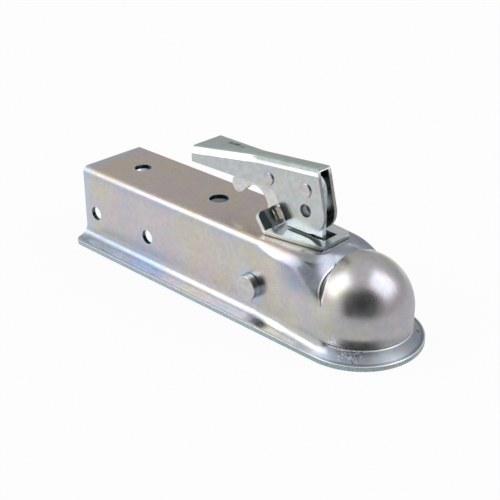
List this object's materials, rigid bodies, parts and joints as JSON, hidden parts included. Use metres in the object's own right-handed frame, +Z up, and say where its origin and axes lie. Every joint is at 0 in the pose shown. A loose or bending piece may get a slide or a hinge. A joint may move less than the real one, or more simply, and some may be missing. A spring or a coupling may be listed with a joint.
{
  "type": "trailer coupling head",
  "caption": "Pressed-steel trailer coupling head for a straight tongue, with a ball socket, a bolted channel and a hinged latch handle with a finger trigger.",
  "frame": {"origin": "under the middle of the ball socket, on the plane of the flange's underside", "axes": "+X forward from the tongue to the dome, +Y across, +Z up"},
  "size_m": [0.2745, 0.0836, 0.1046],
  "materials": {
    "body_zinc": "satin zinc plate with a faint yellow and pink cast",
    "latch_zinc": "brighter blue-white zinc plate",
    "rivet_zinc": "dull zinc plate, upset by riveting",
    "inner_steel": "zinc plate over forged and turned steel",
    "spring_steel": "plain spring wire"
  },
  "bodies": {
    "body": {"coupler_body": "body_zinc", "base_plate": "latch_zinc", "cross_pin": "rivet_zinc"},
    "handle": {"latch_handle": "latch_zinc", "pivot_rivet": "rivet_zinc", "trigger_rivet": "rivet_zinc", "pivot_spacer": "inner_steel", "trigger_spring": "spring_steel"},
    "trigger": {"trigger": "latch_zinc"},
    "stem": {"stem": "latch_zinc", "spring_washer": "inner_steel", "clamp_spring": "spring_steel", "clamp_washer": "inner_steel", "adjusting_nut": "inner_steel"},
    "clamp": {"ball_clamp": "inner_steel"}
  },
  "joints": [
    {"name": "handle_hinge", "type": "hinge", "parent": "body", "child": "handle", "pos_m": [-0.0408, 0, 0.0881], "axis": [0, 1, 0], "range_deg": [0, 90]},
    {"name": "trigger_hinge", "type": "hinge", "parent": "handle", "child": "trigger", "pos_m": [-0.0712, 0, 0.0869], "axis": [0, 1, 0], "range_deg": [0, 15], "stiffness_Nm_per_rad": 0.05, "springref_deg": -20.05},
    {"name": "stem_slide", "type": "slide", "parent": "body", "child": "stem", "axis": [0, 0, -1], "range_m": [0, 0.006], "deforming": ["clamp_spring"]},
    {"name": "clamp_hinge", "type": "hinge", "parent": "body", "child": "clamp", "pos_m": [-0.065, 0, 0.022], "axis": [0, 1, 0], "range_deg": [0, 11]}
  ],
  "couplings": [
    {"joint": "stem_slide", "follows": "handle_hinge", "m_per_rad": 0.003819},
    {"joint": "clamp_hinge", "follows": "handle_hinge", "ratio": 0.1222}
  ]
}
